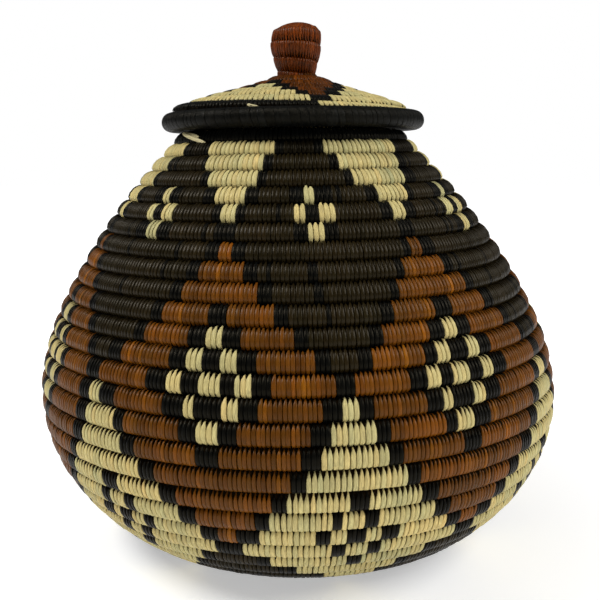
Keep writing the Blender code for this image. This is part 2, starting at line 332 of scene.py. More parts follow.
def leaf_material(
    name, dye=None, across=4.0, along=0.3, contrast=0.45, shine=0.27, ridge=0.05, gloss=0.08,
):
    """Palm leaf, which takes the colour of each stitch, or grass with a dye of its own."""
    material = bpy.data.materials.new(name)
    material.use_nodes = True
    tree = material.node_tree
    shader = tree.nodes["Principled BSDF"]
    values = {"Across": across, "Along": along, "Contrast": contrast, "Shine": shine}
    fibres = add_node(tree, "Group", values, node_tree=FIBRES)
    if dye:
        fibres.inputs["Dye"].default_value = (*dye, 1)
    else:
        stitch = add_node(tree, "Attribute", attribute_name="dye")
        link(tree, stitch.outputs["Color"], fibres.inputs["Dye"])
        link(tree, fibres.outputs["Skin"], shader.inputs["Coat Weight"])
    bump = add_node(tree, "Bump", {"Strength": RIDGE_STRENGTH, "Distance": ridge * MM})
    link(tree, fibres.outputs["Colour"], shader.inputs["Base Color"])
    link(tree, fibres.outputs["Roughness"], shader.inputs["Roughness"])
    link(tree, fibres.outputs["Ridges"], bump.inputs["Height"])
    link(tree, bump.outputs[0], shader.inputs["Normal"])
    set_values(shader, {"Specular IOR Level": gloss, "Specular Tint": WARM_SHINE})
    set_values(shader, {"Coat Roughness": SKIN_ROUGHNESS})
    return material


sewn_leaf = leaf_material("sewn palm leaf")
dark_grass = leaf_material(
    "dark grass", dye=(0.004, 0.003, 0.002), across=1.2, along=0.1, shine=0.6,
)
# The bundles' grass is coloured nearly black: painted shade in the gaps between stitches.
grass_in_painted_shade = leaf_material(
    "grass bundle in painted shade", dye=(0.018, 0.011, 0.0045), across=1.2, along=0.1, shine=0.6,
)
print("materials:", [material.name for material in bpy.data.materials])

# %% [markdown]
# ## One stitch, then thousands
#
# On a straight cord, a stitch is a ring: a strip wrapped once round. Its section is flat
# with rounded edges, and has only four corners, because there are thousands of stitches.
# Spin makes the ring, and an Array modifier sets out a row of them along the cord.

# %% One ring and a row of them
STITCH_FACES_ROUND = 11
CORD_RADIUS = 4.5 * MM
# The rings are set out with room between them, so that each vertex tells which it is of.
RING_WIDTH, RING_SPACING = 1 * MM, 2 * MM
# A flat strip with rounded edges: across and up, as shares.
THIN_STRIP = ((-1, -0.35), (-0.6, 0.85), (0.6, 0.85), (1, -0.35))


def straight_ring(width, height, radius, faces_round, profile):
    """One strip wrapped round a cord that lies along Y. Its profile is in shares of its size."""
    model = bmesh.new()
    corners = [(radius + up * height, across * width / 2) for across, up in profile]
    points = [model.verts.new((x, y, 0)) for x, y in corners]
    edges = [model.edges.new((points[i - 1], points[i])) for i in range(len(points))]
    bmesh.ops.spin(
        model, geom=points + edges, cent=(0, 0, 0), axis=(0, 1, 0), angle=TURN,
        steps=faces_round, use_merge=True,
    )
    bmesh.ops.remove_doubles(model, verts=model.verts, dist=height / 100)
    return mesh_from(model, "ring")


def row_of(mesh, count, spacing):
    """Copies a mesh along Y with an Array modifier, and applies it."""
    maker = add_object("row", mesh)
    array = maker.modifiers.new("row", "ARRAY")
    array.count = count
    array.use_relative_offset = False
    array.use_constant_offset = True
    array.constant_offset_displace = (0, spacing, 0)
    graph = bpy.context.evaluated_depsgraph_get()
    made = bpy.data.meshes.new_from_object(maker.evaluated_get(graph))
    bpy.data.objects.remove(maker)
    return made


print(f"a ring has {STITCH_FACES_ROUND * len(THIN_STRIP)} faces")

# %% [markdown]
# ## Sewing
#
# Now each vertex of the row is moved. The strip narrows to a tip where it dives between the
# stitches of the next round, it slants a little, and no two are alike. Set_out says where
# each stitch goes, as the strips of some dyes are wider than those of others.

# %% Shapes of a strip
# The width of a strip, as a share, at each angle round the cord: 0 degrees faces out, 90 is
# towards the next round. A strip ends in a pointed tip where it dives under the next round.
PINCH_LOW, PINCH_BACK = ((-180, 0.9), (-122, 0.8)), ((106, 0.4), (145, 0.8), (180, 0.9))
PINCH = (
    *PINCH_LOW, (-78, 0.7), (-40, 1), (12, 1), (31, 0.84), (50, 0.48), (74, 0.18), *PINCH_BACK,
)
# Under the belly and on the lid the strips lie closer, so less is seen between their tips.
CLOSE_PINCH = (
    *PINCH_LOW, (-78, 0.85), (-40, 1), (12, 1), (31, 0.97), (50, 0.84), (74, 0.42), *PINCH_BACK,
)
# How far those tips reach over the next round, and how much they stand off it.
OVERHANG, TIP_LIFT, TIP_ANGLE, TIP_REACH = 0.75 * MM, 0.25 * MM, 68, 24
# The tips bend a little to the right, the way that the work goes.
TIP_ASIDE = 0.3 * MM
STITCH_HEIGHT = 0.32 * MM
SLANT = 0.1 * MM
# How much strips differ: in width and place as shares of it, in slant and overhang as shares
# of theirs, and in how far they stand off the cord.
WIDTH_STRAY, PLACE_STRAY, SLANT_STRAY = 0.08, 0.07, 0.3
HEIGHT_STRAYS = (-0.1 * MM, 0.08 * MM)
OVERHANG_STRAYS = (-0.7, 0.5)
# More of a ring's faces go to the side that is seen, and most to where the tips are.
CROWDING, CROWDED_AT = 0.45, 0.5
# Nearer to the middle, a round counts as if it had this radius.
LEAST_RADIUS = 2 * MM
# Each strip starts somewhere on a leaf that is this many millimetres long and wide.
LEAF_SIZE = 400
# On the floor, strips keep only this share of their thickness.
PRESSED_SHARE = 0.2


def set_out(wall, first, last, read):
    """Sets stitches out along the cord, and gives each one's turn, dye letter and width."""
    turns, letters, widths = [], [], []
    turn = first
    while turn < last:
        letter = read(turn)
        radius = max(wall.section(np.array([turn]))[0][0, 0], LEAST_RADIUS)
        step = WIDTHS[letter] * MM / (TURN * radius)
        turns.append(turn + step / 2)
        letters.append(letter)
        widths.append((WIDTHS[letter] if letter == "C" else WIDTHS[letter] * TIGHT) * MM)
        turn += step
    return np.array(turns), letters, np.array(widths)


def strip_map(mesh, across, round_angle, around, stitch):
    """The UV map named strip: millimetres across and along each strip, from a random start."""
    count = len(mesh.loops)
    corner = np.empty(count, np.int32)
    mesh.loops.foreach_get("vertex_index", corner)
    start = np.empty(len(mesh.polygons), np.int32)
    size = np.empty(len(mesh.polygons), np.int32)
    mesh.polygons.foreach_get("loop_start", start)
    mesh.polygons.foreach_get("loop_total", size)
    face = np.repeat(np.arange(len(size)), size)
    # Each face's corners are measured from its first one, so no face spans the seam.
    first = round_angle[corner[start]][face]
    angle = first + (round_angle[corner] - first + math.pi) % TURN - math.pi
    begin = rng.uniform(0, LEAF_SIZE, (stitch.max() + 1, 2))
    uv = np.stack([across[corner] / MM, angle * around / MM], axis=1) + begin[stitch[corner]]
    layer = mesh.uv_layers.new(name="strip")
    layer.data.foreach_set("uv", uv.astype(np.float32).ravel())


def set_dye(mesh, colours):
    """The attribute named dye: one colour for each vertex."""
    layer = mesh.attributes.new("dye", "FLOAT_COLOR", "POINT")
    full = np.ones((len(colours), 4), np.float32)
    full[:, :3] = colours
    layer.data.foreach_set("color", full.ravel())


def sew(
    name, wall, turns, colours, widths, cover=1.04, slant=SLANT, floor=None,
    height=STITCH_HEIGHT, pinch=PINCH, uneven=1.0, profile=THIN_STRIP,
    faces_round=STITCH_FACES_ROUND, overhang=OVERHANG, shape=lean,
):
    """Sews a length of cord: a mesh with a stitch at each of the turns."""
    ring_mesh = straight_ring(RING_WIDTH, height, CORD_RADIUS, faces_round, profile)
    mesh = row_of(ring_mesh, len(turns), RING_SPACING)
    straight = coordinates(mesh)
    stitch = np.round(straight[:, 1] / RING_SPACING).astype(int)
    # Across goes from -1 to 1 over each strip, and sunk is 0 on its outside.
    across = (straight[:, 1] - stitch * RING_SPACING) / (RING_WIDTH / 2)
    sunk = np.hypot(straight[:, 0], straight[:, 2]) - CORD_RADIUS - height
    ring = np.arctan2(straight[:, 2], straight[:, 0])
    round_angle = ring - CROWDING * np.sin(ring - CROWDED_AT)
    count = len(turns)
    wide = (widths * cover * (1 + uneven * rng.uniform(-WIDTH_STRAY, WIDTH_STRAY, count)))[stitch]
    shift = (uneven * widths * rng.uniform(-PLACE_STRAY, PLACE_STRAY, count))[stitch]
    tilt = (slant * (1 + uneven * rng.uniform(-SLANT_STRAY, SLANT_STRAY, count)))[stitch]
    raised = (uneven * rng.uniform(*HEIGHT_STRAYS, count))[stitch]
    hang = (1 + uneven * rng.uniform(*OVERHANG_STRAYS, count))[stitch]
    degrees = np.degrees(round_angle)
    narrow = np.interp(degrees, *zip(*pinch))
    near_tip = uneven * hang * np.exp(-(((degrees - TIP_ANGLE) / TIP_REACH) ** 2))
    push = overhang * near_tip
    # The slanted strip comes back on the inside, so that it closes.
    slanted = shift - tilt / 2 * np.sin(round_angle)
    along = across / 2 * wide * narrow + slanted + TIP_ASIDE * near_tip
    radius = wall.section(turns)[0][:, 0][stitch]
    turn = turns[stitch] + along / (TURN * np.maximum(radius, LEAST_RADIUS))
    place = wind(wall, turn, round_angle, sunk + raised + TIP_LIFT * near_tip, push[:, None])
    if floor is not None:
        place[:, 2] = np.maximum(place[:, 2], floor - sunk * PRESSED_SHARE)
    set_coordinates(mesh, shape(place))
    strip_map(mesh, across / 2 * wide, round_angle, CORD_RADIUS, stitch)
    set_dye(mesh, colours[stitch])
    face_outwards(mesh)
    print(f"{name}: {count} stitches, {len(mesh.polygons) * 2} triangles")
    return mesh


print(f"tips reach {OVERHANG / MM:.2f} mm over the next round")

# %% [markdown]
# ## The bundle inside
#
# Between the stitches the bundle shows as a dark line: its grass is coloured nearly black,
# which is painted shade in the gaps. It is a plain tube, made straight and wound in the
# same way. Here spin is given no angle but a small move, which makes it an extrusion in
# many steps.

# %% Bundles
CORE_SIDES = 10
CORE_STEPS = 20
# How deep a bundle lies under the strips, and how long its straws are in the UV map.
CORE_SINK, CORE_STEP_LENGTH = 0.5 * MM, 10 * MM


def bundle(
    name, wall, first, last, material, body_name, sink=CORE_SINK, floor=None, shape=lean,
):
    """Winds the grass of a length of cord from its first turn to its last, as a piece."""
    model = bmesh.new()
    bmesh.ops.create_circle(model, cap_ends=True, radius=CORD_RADIUS, segments=CORE_SIDES)
    # The circle is turned to stand across Y, the way that the cord runs.
    for vert in model.verts:
        vert.co = (vert.co.x, 0, vert.co.y)
    steps = max(2, round((last - first) * CORE_STEPS))
    everything = model.verts[:] + model.edges[:] + model.faces[:]
    bmesh.ops.spin(
        model, geom=everything, cent=(0, 0, 0), axis=(0, 1, 0), dvec=(0, 1, 0), angle=0,
        steps=steps,
    )
    mesh = mesh_from(model, name)
    straight = coordinates(mesh)
    turn = first + straight[:, 1] / steps * (last - first)
    round_angle = np.arctan2(straight[:, 2], straight[:, 0])
    place = wind(wall, turn, round_angle, np.full(len(turn), -sink))
    if floor is not None:
        place[:, 2] = np.maximum(place[:, 2], floor)
    set_coordinates(mesh, shape(place))
    strand = np.zeros(len(turn), int)
    strip_map(mesh, straight[:, 1] * CORE_STEP_LENGTH, round_angle, CORD_RADIUS, strand)
    face_outwards(mesh)
    return add_piece(name, mesh, material, body_name)


print(f"a bundle has {CORE_SIDES} sides and {CORE_STEPS} steps a turn")

# %% [markdown]
# ## Dyes
#
# Each dye has a letter, which the charts use. Every strip takes its colour from the dye, and
# then a random tone of its own. The colours are linear, as Blender counts them, and so are
# lower than the values that a colour picker shows.

# %% Dyes
CREAM = (0.545, 0.457, 0.195)
RUST = (0.12, 0.0385, 0.002)
CHARCOAL = (0.0125, 0.0084, 0.0022)
BLACK = (0.0021, 0.0024, 0.0023)
# Dark brown is only in the row just under the rim: a darker dye, and partly painted shade of the
# rim.
DARK_BROWN_AND_RIM_SHADE = (0.0036, 0.0027, 0.0011)
KNOB_BROWN = (0.126, 0.024, 0.001)
STAR_BROWN = (0.09, 0.023, 0.0012)
DYES = {
    "C": CREAM, "R": RUST, "G": CHARCOAL, "K": BLACK, "D": DARK_BROWN_AND_RIM_SHADE, "O": KNOB_BROWN,
    "B": STAR_BROWN,
}
# How wide the strips of each dye are, in millimetres, and how much their tones differ.
WIDTHS = {"C": 2.15, "R": 1.8, "G": 1.75, "K": 1.8, "D": 1.75, "O": 1.2, "B": 1.35}
TONES = {"C": 0.06, "R": 0.2, "G": 0.14, "K": 0.14, "D": 0.3, "O": 0.36, "B": 0.3}
# Strips are dyed a handful at a time, so neighbours are more alike than others. The shares
# say how far each handful and each strip strays in tone and from cold to warm.
HANDFUL = 14
HANDFUL_TONE, STRIP_TONE = 0.6, 0.8
HANDFUL_WARMTH, STRIP_WARMTH = 0.04, 0.03
# One strip in twenty is odd: some rust ones are bright, and some charcoal ones are black.
ODD_SHARE = 0.05
BRIGHTER = (1.7, 1.7, 1.0)
# Dyed strips are a little wider than their share of the round, so they press on each other.
TIGHT = 1.06


def tint(letters):
    """Each stitch's colour, with the small differences that a dye bath leaves."""
    colours = np.array([DYES[letter] for letter in letters])
    count = len(letters)
    baths = rng.normal(0, HANDFUL_TONE, count // HANDFUL + 1)
    handfuls = np.repeat(baths, HANDFUL)[:count]
    spread = [TONES[letter] for letter in letters]
    tone = (rng.normal(0, STRIP_TONE, count) + handfuls) * spread
    warm = rng.normal(0, STRIP_WARMTH, count) + handfuls * HANDFUL_WARMTH
    letters = np.array(letters)
    bright = (letters == "R") & (rng.random(count) < ODD_SHARE)
    colours[bright] = np.array(RUST) * BRIGHTER
    dark = (letters == "G") & (rng.random(count) < ODD_SHARE)
    colours[dark] = BLACK
    colours = colours * np.exp(tone)[:, None]
    colours[:, 0] *= np.exp(warm)
    colours[:, 2] *= np.exp(-warm)
    return np.clip(colours, 0, 1)


print("dyes:", DYES)

# %% [markdown]
# ## The chart of colours
#
# A maker counts stitches, round by round. The chart says the same thing in degrees, from
# the middle of a brown diamond out to the middle of the cream diamond beside it, which is
# half of the repeat. The other half is its mirror image. There are seven repeats, and as
# they were counted one by one, no two are equally wide: the places of their middles are
# listed. The slant of the stitches carries the pattern a little further round each row.

# %% Chart
FIRST_ROW_TURN = 34
HALF_REPEAT = 360 / 14
# The degrees that the pattern drifts at each row, counted from the row where it is in place.
DRIFT, DRIFT_ROW = 0.3, 10
MIDDLES = (
    -171.1, -145.3, -119.4, -93.5, -66, -41.8, -16.5, 7.5, 31.7, 59.6, 85.5, 111.3, 137.2,
    163, 188.9, 214.7,
)
# How far some of those middles lie to the side in some of the rows.
NUDGES = {
    1: ((6, -5.2), (7, -3.8), (8, 0.2)), 2: ((6, -5.8), (7, -4), (8, 0.9)),
    3: ((6, -3.3), (7, -2.6), (8, 0.8)), 4: ((6, -1.8), (7, -1.6), (8, 1.4)),
    5: ((6, -0.8), (7, -1.5)), 6: ((6, -0.5), (7, -2)),
    11: ((6, -0.5),), 12: ((5, -1.5), (6, -0.6)), 13: ((5, -3), (6, -0.6), (8, -1.2)),
    14: ((5, -1.5), (6, -1), (8, -2)), 15: ((6, -1.7), (8, -2)), 16: ((6, -1.8), (8, -1.2)),
    18: ((6, -0.4), (8, 0.6)), 19: ((6, -0.8), (7, -0.8), (8, 0.8)), 20: ((6, -1.2), (8, 1)),
    21: ((6, -2.2), (8, 1.5)), 22: ((6, -2.8), (8, 1)), 23: ((6, -2.2), (7, -0.5)),
}
# The dark brown D of the second row lies just under the rim, and is partly painted shade.
BODY_CHART = (
    "K26", "C16 K20 D26", "C12.3 K16 G26", "C9.8 K13.5 G26", "C5.6 K9 G19.5 K24 C26",
    "C2.1 K5.5 G19.5 C23.6 K26", "K2.3 G19.5 K23.5 C26", "R1.8 K4.7 G26", "R5.7 K8.8 G26",
    "R9.3 K12.4 G26", "K2.4 R12.7 K15.9 G26", "C2 K5.4 R16.3 K19.2 G26",
    "K2.2 C5.2 K8.6 R20.1 K23.2 G26", "C2.3 K5 C8.3 K12 R23.6 K26",
    "K2.3 C5.1 K8.8 R20.4 K24 C26", "C2.1 K5.4 R18.4 K21.4 C26", "K2.1 R16.4 K19.4 C26",
    "R13 K16.4 C26", "R9.2 K12.8 C23.7 K26", "R6 K9.3 C20.9 K23.8 C26",
    "R2.2 K6.4 C17.2 K20.7 C23.7 K26", "K3 C20.9 K23.8 C26", "G5.4 K8.2 C23.7 K26",
    "G10.6 K13.4 C26", "G15.6 K18.3 C26", "G19.5 K22.4 C26", "G23.2 K26", "G26",
)


def read_row(words, distance):
    """The dye letter at a distance from the repeat's middle."""
    for word in words.split():
        if distance < float(word[1:]):
            return word[0]
    return words.split()[-1][0]


def body_letter(turn):
    """The dye letter at a turn of the basket's cord."""
    angle = turn * 360
    seam = (MIDDLES[0] + MIDDLES[1]) / 2
    wound = math.floor((angle - seam) / 360)
    row = FIRST_ROW_TURN - wound
    angle -= wound * 360
    middles = list(MIDDLES)
    for index, nudge in NUDGES.get(row, ()):
        middles[index] += nudge
    place = np.interp(angle - DRIFT * (row - DRIFT_ROW), middles, range(len(middles)))
    distance = abs(place - 2 * round(place / 2)) * HALF_REPEAT
    return read_row(BODY_CHART[min(max(row, 0), len(BODY_CHART) - 1)], distance)


print("half a round at turn 22:", "".join(map(body_letter, np.linspace(21.5, 22, 80))))

# %% [markdown]
# ## Winding the basket
#
# The basket is sewn in the same lengths as its CAD cord, so each mesh stands for one node
# and none gets too heavy. The bottom of the base is pressed flat by the floor.

# %% Basket
FLOOR = 0.0
# Below this turn the strips lie closer.
BELLY_START = 15.5
# Of each length: its node, which part of the node, its first and last turn, and its slot.
# The two longest are made in two parts, as a piece stays under 200,000 triangles.
BODY_LENGTHS = (
    ("base", "", 0.13, 8, "charcoal_leaf"),
    ("foot", "", 8, 10, "cream_leaf"),
    ("flare", "", 10, 11.5, "cream_leaf"),
    ("lower_wall", "", 11.5, 15.5, "cream_leaf"),
    ("belly", "_low", 15.5, 19.5, "rust_leaf"),
    ("belly", "_high", 19.5, 22.5, "rust_leaf"),
    ("shoulder", "_low", 22.5, 26.5, "charcoal_leaf"),
    ("shoulder", "_high", 26.5, 31.5, "charcoal_leaf"),
    ("neck", "", 31.5, 34.42, "black_leaf"),
)
for node, half, first, last, slot in BODY_LENGTHS:
    name = node + half
    floor = FLOOR if node == "base" else None
    turns, letters, widths = set_out(body, first, last, body_letter)
    pinch = PINCH if first >= BELLY_START else CLOSE_PINCH
    mesh = sew(name, body, turns, tint(letters), widths, floor=floor, pinch=pinch)
    sewn = add_piece(name + "_stitches", mesh, sewn_leaf, "basket")
    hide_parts(node + "_coil")
    bundle(name + "_bundle", body, first, last, grass_in_painted_shade, "basket", floor=floor)

# %% [markdown]
# ## The lid
#
# The lid is a second cord. It starts at the top of the knob, goes straight down its side
# and then spreads out as a low dome. Its knob sits a little to the right of the middle, so
# the rounds near it are moved over. Its pattern is a star with four rust arms.

# %% Lid wall
def through(points):
    """A wall's line through (turn, radius, height) points in millimetres, a little smoothed."""
    first, last = points[0][0], points[-1][0]
    turns = np.linspace(first, last, round((last - first) * SAMPLES_A_TURN) + 1)
    at, radii, heights = zip(*points)
    line = [np.interp(turns, at, values) for values in (radii, heights)]
    reach = SAMPLES_A_TURN // 4
    even = np.full(2 * reach + 1, 1 / (2 * reach + 1))
    smooth = [np.convolve(np.pad(value, reach, "edge"), even, "valid") for value in line]
    return turns, smooth[0] * MM, smooth[1] * MM


LID_LINE = (
    (3, 6.3, 224.9), (4, 8.8, 220.4), (5, 16.2, 217.7), (6, 23.4, 215.4), (7, 30.6, 213.2),
    (8, 38.0, 211.1), (9, 45.8, 208.9), (10, 52.8, 206.7), (10.2, 53.5, 206.4),
    (10.5, 56.0, 205.9), (10.7, 58.2, 205.4), (10.85, 59.0, 205.0), (11, 58.0, 205.0),
    (11.2, 55.8, 205.6), (11.45, 55.6, 206.0),
)
# Round the knob, the cord is flat, so its line lies further out.
KNOB_LINE = (
    (-0.9, 8.9, 246.4), (-0.4, 9.2, 246.4), (0, 10.4, 245.6), (0.5, 11.1, 242.4), (1, 11.0, 239.2),
    (2, 9.3, 231.6), (3, 7.3, 224.9), (4, 8.4, 220.4),
)
LID_ROWS = 11
KNOB_START, KNOB_TURNS, DOME_END, LID_START = 0.13, 4, 11.4, 0.0625 - LID_ROWS
lid = Wall(through(LID_LINE), side=-1, start_turn=LID_START)
lid.square = 0.66
KNOB_ASIDE, DOME_ASIDE = 2.3 * MM, 0.4 * MM
# The knob leans back a little, so that its rounds lie nearly level.
KNOB_TILT, KNOB_FOOT = 0.07, 222 * MM
# Where the move to the side begins, and over what distances it and the tilt grow.
ASIDE_EDGE, ASIDE_FADE, TILT_FADE = 45 * MM, 30 * MM, 15 * MM


def lean_lid(place):
    """The knob and the dome sit a little to the right of the rim."""
    beside = np.clip((ASIDE_EDGE - np.hypot(place[:, 0], place[:, 1])) / ASIDE_FADE, 0, 1)
    above = np.clip((place[:, 2] - KNOB_FOOT) / TILT_FADE, 0, 1)
    place[:, 2] += KNOB_TILT * above * place[:, 0]
    place[:, 0] += DOME_ASIDE + (KNOB_ASIDE - DOME_ASIDE) * beside**2 * (3 - 2 * beside)
    return lean(place)


print(f"the dome goes out to {lid.radius.max() / MM:.1f} mm at {lid.height.min() / MM:.1f} mm")

# %% [markdown]
# ## The star's chart
#
# The lid's chart counts degrees from the middle of an arm out to halfway to the next.

# %% Star chart
ARMS = 4
ARM_MIDDLE = 12.6
LID_CHART = ("B46",) * 6 + (
    "B35 K46", "B20.5 K36 C46", "B10.8 K23.4 C46", "B5 K13.4 C46", "K4.6 C46",
)
# The last round changes from black to cream here.
BLACK_END = 10.9633


def lid_letter(turn):
    """The dye letter at a turn of the lid's cord."""
    if turn > BLACK_END:
        return "C"
    angle = (turn + LID_START) * 360
    angle -= 360 * round(angle / 360)
    row = round(turn + LID_START - angle / 360) + LID_ROWS
    if row >= LID_ROWS:
        return "K"
    arm = 360 / ARMS
    distance = abs((angle - ARM_MIDDLE + arm / 2) % arm - arm / 2)
    return read_row(LID_CHART[min(max(row, 0), len(LID_CHART) - 1)], distance)


print("the dome at turn 9:", "".join(map(lid_letter, np.linspace(8.5, 9.5, 80))))

# %% [markdown]
# ## Dome
#
# From the foot of the knob on, the lid's cord is sewn like the basket's. Its leaf lies close.

# %% Dome
turns, letters, widths = set_out(lid, KNOB_TURNS, DOME_END, lid_letter)
dome = sew("dome", lid, turns, tint(letters), widths, pinch=CLOSE_PINCH, shape=lean_lid)
dome = add_piece("dome_stitches", dome, sewn_leaf, "lid")
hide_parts("dome_coil")
bundle("dome_bundle", lid, KNOB_TURNS, DOME_END, grass_in_painted_shade, "lid", shape=lean_lid)

# %% [markdown]
# ## Knob
#
# Hands have polished the knob, so its leaf is glossier than the rest. Its rounds are thin
# and flat, its strips narrow, and their tips reach further over the next round.

# %% Knob
knob_leaf = leaf_material(
    "glossy brown leaf", across=3, along=0.4, contrast=0.9, shine=0.3, ridge=0.12, gloss=0.1,
)
knob_wall = Wall(through(KNOB_LINE), side=-1, start_turn=LID_START)
knob_wall.square, knob_wall.bulge = 0.6, 0.52
KNOB_PINCH = (
    *PINCH_LOW, (-78, 0.75), (-40, 1), (-10, 1), (12, 0.84), (31, 0.6), (50, 0.4), (74, 0.18),
    *PINCH_BACK,
)
turns, letters, widths = set_out(knob_wall, KNOB_START, KNOB_TURNS, lambda turn: "O")
knob = sew(
    "knob", knob_wall, turns, tint(letters), widths, cover=1.2, slant=0.3 * MM,
    overhang=1.2 * MM, pinch=KNOB_PINCH, shape=lean_lid,
)
knob = add_piece("knob_stitches", knob, knob_leaf, "lid")
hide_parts("knob_coil")
bundle(
    "knob_bundle", knob_wall, KNOB_START, KNOB_TURNS, grass_in_painted_shade, "lid",
    shape=lean_lid,
)

# %% [markdown]
# ## Knots: the crown of the knob and the start of the base
#
# Both ends of the work are a small wrapped knot: strips that run over a bundle from its
# middle outwards. A grid does this well. It is bent round the axis into a turned shape,
# one way of it being the angle and the other the outline, and each strip is a ridge.

# %% Knots
# The grid's faces across each strip and down the outline, and how wide a strip is.
KNOT_FACES_ACROSS, KNOT_FACES_DOWN = 4, 18
KNOT_STRIP_WIDTH = 1.6 * MM
# Near the axis the ridges fade. They lean up on the top, which ends at the first of these
# shares of the way down, and down on the underside, which starts at the second.
KNOT_FADE = 4 * MM
KNOT_TOP_END, KNOT_FOOT_START = 0.4, 0.8
RIDGE_LEAN = 0.7
# Corners nearer than the first are one, and an edge shorter than the second goes.
KNOT_MERGE, KNOT_SHORTEST = 0.01 * MM, 0.001 * MM


def knot(name, outline, strips, swirl, ridge, dyes, shape=lean):
    """A turned shape of wrapped strips. The outline goes from the axis's top to its foot."""
    model = bmesh.new()
    bmesh.ops.create_grid(
        model, x_segments=strips * KNOT_FACES_ACROSS, y_segments=KNOT_FACES_DOWN, size=0.5,
    )
    mesh = mesh_from(model, name)
    straight = coordinates(mesh)
    share, down = straight[:, 0] + 0.5, straight[:, 1] + 0.5
    outline = np.array(outline, float)
    lengths = np.append(0, np.cumsum(np.hypot(*np.diff(outline, axis=0).T)))
    radius = np.interp(down * lengths[-1], lengths, outline[:, 0])
    height = np.interp(down * lengths[-1], lengths, outline[:, 1])
    strip = np.minimum((share * strips).astype(int), strips - 1)
    hump = np.sqrt(np.abs(np.sin(math.pi * share * strips)))
    grow = ridge * hump * np.clip(radius / KNOT_FADE, 0, 1)
    angle = TURN * share + swirl * (1 - radius / radius.max())
    wide = np.where(radius > 0, radius + grow * RIDGE_LEAN, 0)
    below = np.where(down > KNOT_FOOT_START, -grow * RIDGE_LEAN, 0)
    up = np.where(down < KNOT_TOP_END, grow * RIDGE_LEAN, below)
    set_coordinates(mesh, shape(round_axis(wide, angle, height + up)))
    strip_map(mesh, share * strips * KNOT_STRIP_WIDTH, down * 0, CORD_RADIUS, strip)
    set_dye(mesh, dyes(strips)[strip])
    model = bmesh.new()
    model.from_mesh(mesh)
    bmesh.ops.remove_doubles(model, verts=model.verts, dist=KNOT_MERGE)
    bmesh.ops.dissolve_degenerate(model, edges=model.edges, dist=KNOT_SHORTEST)
    model.to_mesh(mesh)
    model.free()
    face_outwards(mesh)
    print(f"{name}: {strips} strips, {len(mesh.polygons)} faces")
    return mesh


# Outlines as radius and height in millimetres.
CROWN = (
    (0, 249.0), (1.5, 248.8), (3.4, 248.3), (5.6, 247.7), (7.8, 246.9), (9.5, 245.9),
    (10.8, 244.5), (11.3, 243), (6.0, 241.5), (5.0, 230), (4.2, 222), (0, 220),
)
crown_outline = [(radius * MM, height * MM) for radius, height in CROWN]
crown = knot(
    "crown", crown_outline, 24, 0.9, 0.45 * MM, lambda count: tint("O" * count), shape=lean_lid,
)
crown = add_piece("knob_crown", crown, knob_leaf, "lid")
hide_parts("knob_core")
START = ((0, 8.9), (3.2, 8.7), (4.5, 7.4), (4.7, 4), (4.2, 0.9), (3, 0.15), (0, 0.1))
start_outline = [(radius * MM, height * MM) for radius, height in START]
start = knot("start", start_outline, 9, 0.5, 0.3 * MM, lambda count: tint("G" * count))
start = add_piece("start_knot", start, sewn_leaf, "basket")
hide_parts("base_start")

# %% [markdown]
# ## The rim
#
# The lid's edge is one thick ring of grass, wrapped in black strips twice as wide as the
# others. They are flat with rounded edges, so their profile has more corners, and their
# widths vary a lot. The winding is the same: a ring is a wall whose line doesn't climb.

# %% Rim
# The lid sits a little askew, higher on the right.
RIM_ASKEW = 0.7 * MM


class Ring:
    """A level ring of cord, which answers the same question as a Wall."""

    bulge = 1.0
    square = 0.96
    start_turn = 0.5

    def __init__(self, radius, height, half):
        self.middle = np.array([radius, height])
        self.half = half

    def section(self, turn):
        ones = np.ones((len(turn), 1))
        wave = RIM_ASKEW * np.sin(TURN * (turn[:, None] + self.start_turn)) * (0, 1)
        return self.middle + wave, ones * (0, 1), ones * (1, 0), ones * self.half


rim_low, rim_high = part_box("rim_coil")
RIM_RADIUS, RIM_RISE, RIM_HALF = 59.6 * MM, 0.55 * MM, 4.35 * MM
rim = Ring(RIM_RADIUS, (rim_low.z + rim_high.z) / 2 + RIM_RISE, RIM_HALF)
WIDE_STRIP = ((-1, -0.5), (-0.9, 0.6), (-0.5, 0.95), (0.2, 1), (0.86, 0.75), (1, -0.5))
RIM_STRIPS, NARROWEST, WIDEST = 92, 2.0, 6.6
rim_widths = rng.uniform(NARROWEST, WIDEST, RIM_STRIPS) * MM
rim_widths *= TURN * rim.middle[0] / rim_widths.sum()
rim_turns = (np.cumsum(rim_widths) - rim_widths / 2) / (TURN * rim.middle[0])
RIM_PINCH = ((-180, 0.72), (-90, 1), (90, 1), (180, 0.72))
rim_leaf = leaf_material(
    "wide black leaf", across=3.4, along=0.1, contrast=0.9, shine=0.3, ridge=0.2, gloss=0.06,
)
# Handling has worn the rim a little paler than the black of the wall.
RIM_WORN = 1.9
rim_dyes = tint("K" * RIM_STRIPS) * RIM_WORN
wraps = sew(
    "rim", rim, rim_turns, rim_dyes, rim_widths, cover=1.03, slant=1.5 * MM, height=0.12 * MM,
    pinch=RIM_PINCH, uneven=0.15, profile=WIDE_STRIP, faces_round=22,
)
rim_piece = add_piece("rim_wraps", wraps, rim_leaf, "lid")
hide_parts("rim_coil")
bundle("rim_bundle", rim, 0, 1, dark_grass, "lid")

# %% [markdown]
# ## The collar
#
# Under the lid, three rounds hang into the mouth and keep the lid in its place. Nobody
# sees them, so here most of the grass is left bare and bound with plain strips set apart.
# Only next to the rim are they black and close together; the black is painted shade under the rim.

# %% Collar
collar_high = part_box("collar_coil")[1]
COLLAR_ROUNDS, COLLAR_PITCH, COLLAR_RISE = 3, 8.5 * MM, 0.25 * MM
